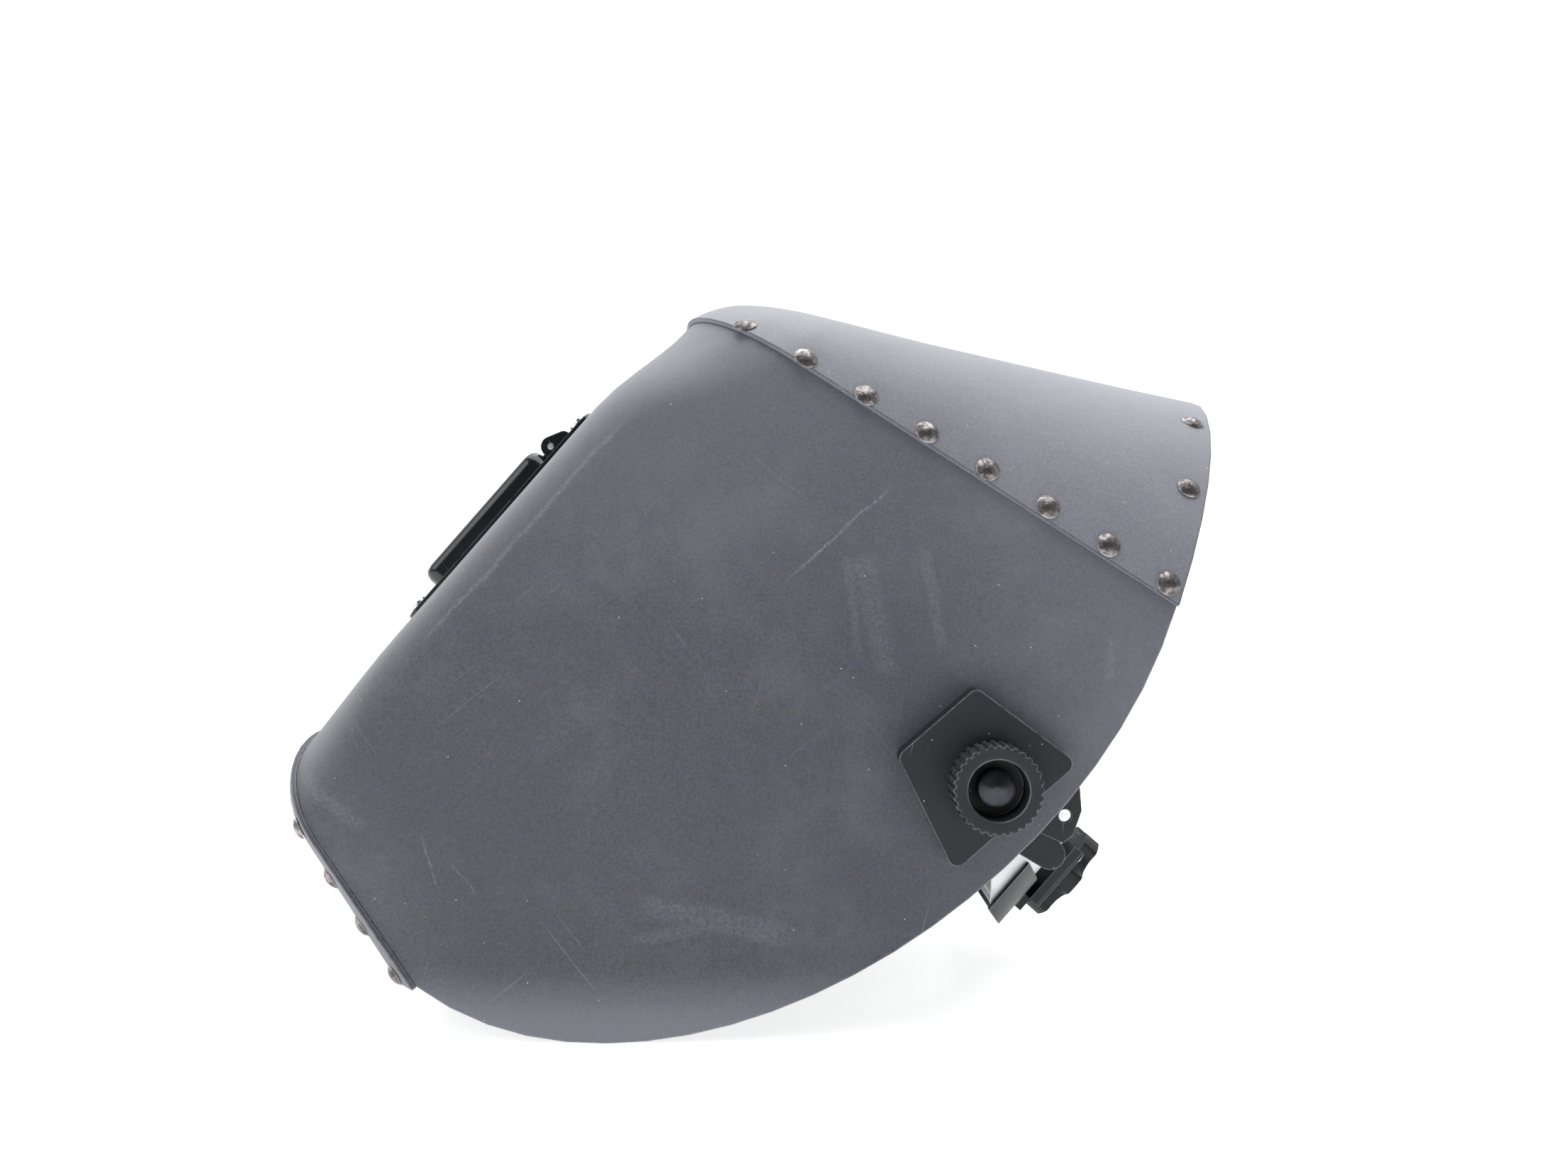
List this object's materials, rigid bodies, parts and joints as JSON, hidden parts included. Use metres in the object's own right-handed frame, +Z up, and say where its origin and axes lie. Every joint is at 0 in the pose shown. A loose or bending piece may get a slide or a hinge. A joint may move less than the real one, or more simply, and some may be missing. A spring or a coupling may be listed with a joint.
{
  "type": "welding helmet",
  "caption": "Welding helmet lying face up: riveted fibre shell, lift-front lens holder, pivoting headgear with knurled side knobs and rear ratchet knob.",
  "frame": {"origin": "on the bench under the middle of the bounding box", "axes": "+X runs along the length from the chin and face end to the crown and nape end, +Y to the wearer's right, +Z up, with the helmet lying on its lower edge and the face leaning back"},
  "size_m": [0.382, 0.2828, 0.2878],
  "materials": {
    "fibre_sheet": "matte vulcanised fibre with fine speckle",
    "fibre_crown": "matte vulcanised fibre with fine speckle",
    "rivet_bronze": "dark bronzed, worn bright on the domes",
    "holder_plastic": "glossy black moulding",
    "clear_lens": "clear polycarbonate",
    "filter_glass": "dark green welding shade",
    "bright_steel": "plated",
    "pivot_plastic": "satin black moulding",
    "insert_metal": "dark satin",
    "fibre_washer": "matte",
    "headgear_black": "satin black moulding",
    "headgear_white": "translucent white moulding",
    "sweatband_cloth": "soft knitted cloth over foam"
  },
  "bodies": {
    "shell": {"main_shell": "fibre_sheet", "crown_cap": "fibre_crown", "chin_piece": "fibre_sheet", "crown_edge_strip": "fibre_crown", "crown_side_rivets": "rivet_bronze", "crown_rear_rivets": "rivet_bronze", "crown_front_rivets": "rivet_bronze", "chin_rivet_row": "rivet_bronze", "holder_base": "holder_plastic", "holder_clamp_frame": "holder_plastic", "holder_screws": "bright_steel", "holder_nuts": "bright_steel", "safety_plate": "clear_lens", "plate_spring": "bright_steel", "hinge_pin": "bright_steel", "pivot_plate_left": "pivot_plastic", "pivot_plate_right": "pivot_plastic", "stop_disc_left": "pivot_plastic", "stop_disc_right": "pivot_plastic"},
    "lift_front": {"lift_frame": "holder_plastic", "filter_plate": "filter_glass", "cover_plate": "clear_lens", "lift_retainer": "bright_steel", "hinge_spring": "bright_steel"},
    "headgear": {"pivot_stud_left": "bright_steel", "pivot_stud_right": "bright_steel", "pivot_arm_left": "headgear_black", "pivot_arm_right": "headgear_black", "friction_washer_left": "fibre_washer", "friction_washer_right": "fibre_washer", "front_headband": "headgear_black", "sweatband": "sweatband_cloth", "side_bracket_left": "headgear_black", "side_bracket_right": "headgear_black", "bracket_rivets": "bright_steel", "overhead_strap_left": "headgear_black", "overhead_strap_right": "headgear_black", "strap_buttons": "headgear_black"},
    "left_knob": {"tension_knob_left": "pivot_plastic", "knob_insert_left": "insert_metal"},
    "right_knob": {"tension_knob_right": "pivot_plastic", "knob_insert_right": "insert_metal"},
    "rear_carrier": {"rear_band": "headgear_white", "rear_cradle": "headgear_black", "nape_pad": "sweatband_cloth", "ratchet_housing": "headgear_black", "ratchet_cover": "headgear_black", "housing_screws": "bright_steel"},
    "ratchet_knob": {"ratchet_knob": "headgear_black", "ratchet_pinion": "headgear_white"}
  },
  "joints": [
    {"name": "headgear_tilt", "type": "hinge", "parent": "shell", "child": "headgear", "pos_m": [0.0853, 0, 0.09512], "axis": [0, -1, 0], "range_deg": [0, 75]},
    {"name": "left_knob_turn", "type": "hinge", "parent": "headgear", "child": "left_knob", "pos_m": [0.0853, -0.128, 0.09512], "axis": [0, -1, 0], "range_deg": [-170, 170]},
    {"name": "right_knob_turn", "type": "hinge", "parent": "headgear", "child": "right_knob", "pos_m": [0.0853, 0.128, 0.09512], "axis": [0, 1, 0], "range_deg": [-170, 170]},
    {"name": "lift_front_flip", "type": "hinge", "parent": "shell", "child": "lift_front", "pos_m": [-0.08203, 0, 0.22127], "axis": [0, 1, 0], "range_deg": [0, 100]},
    {"name": "rear_band_slide", "type": "slide", "parent": "headgear", "child": "rear_carrier", "axis": [-0.5563, 0, 0.831], "range_m": [-0.008, 0.012]},
    {"name": "ratchet_knob_turn", "type": "hinge", "parent": "rear_carrier", "child": "ratchet_knob", "pos_m": [0.13304, 0, 0.03962], "axis": [0.7524, 0, -0.6587], "range_deg": [-120, 180]}
  ],
  "couplings": [
    {"joint": "ratchet_knob_turn", "follows": "rear_band_slide", "rad_per_m": 250}
  ]
}
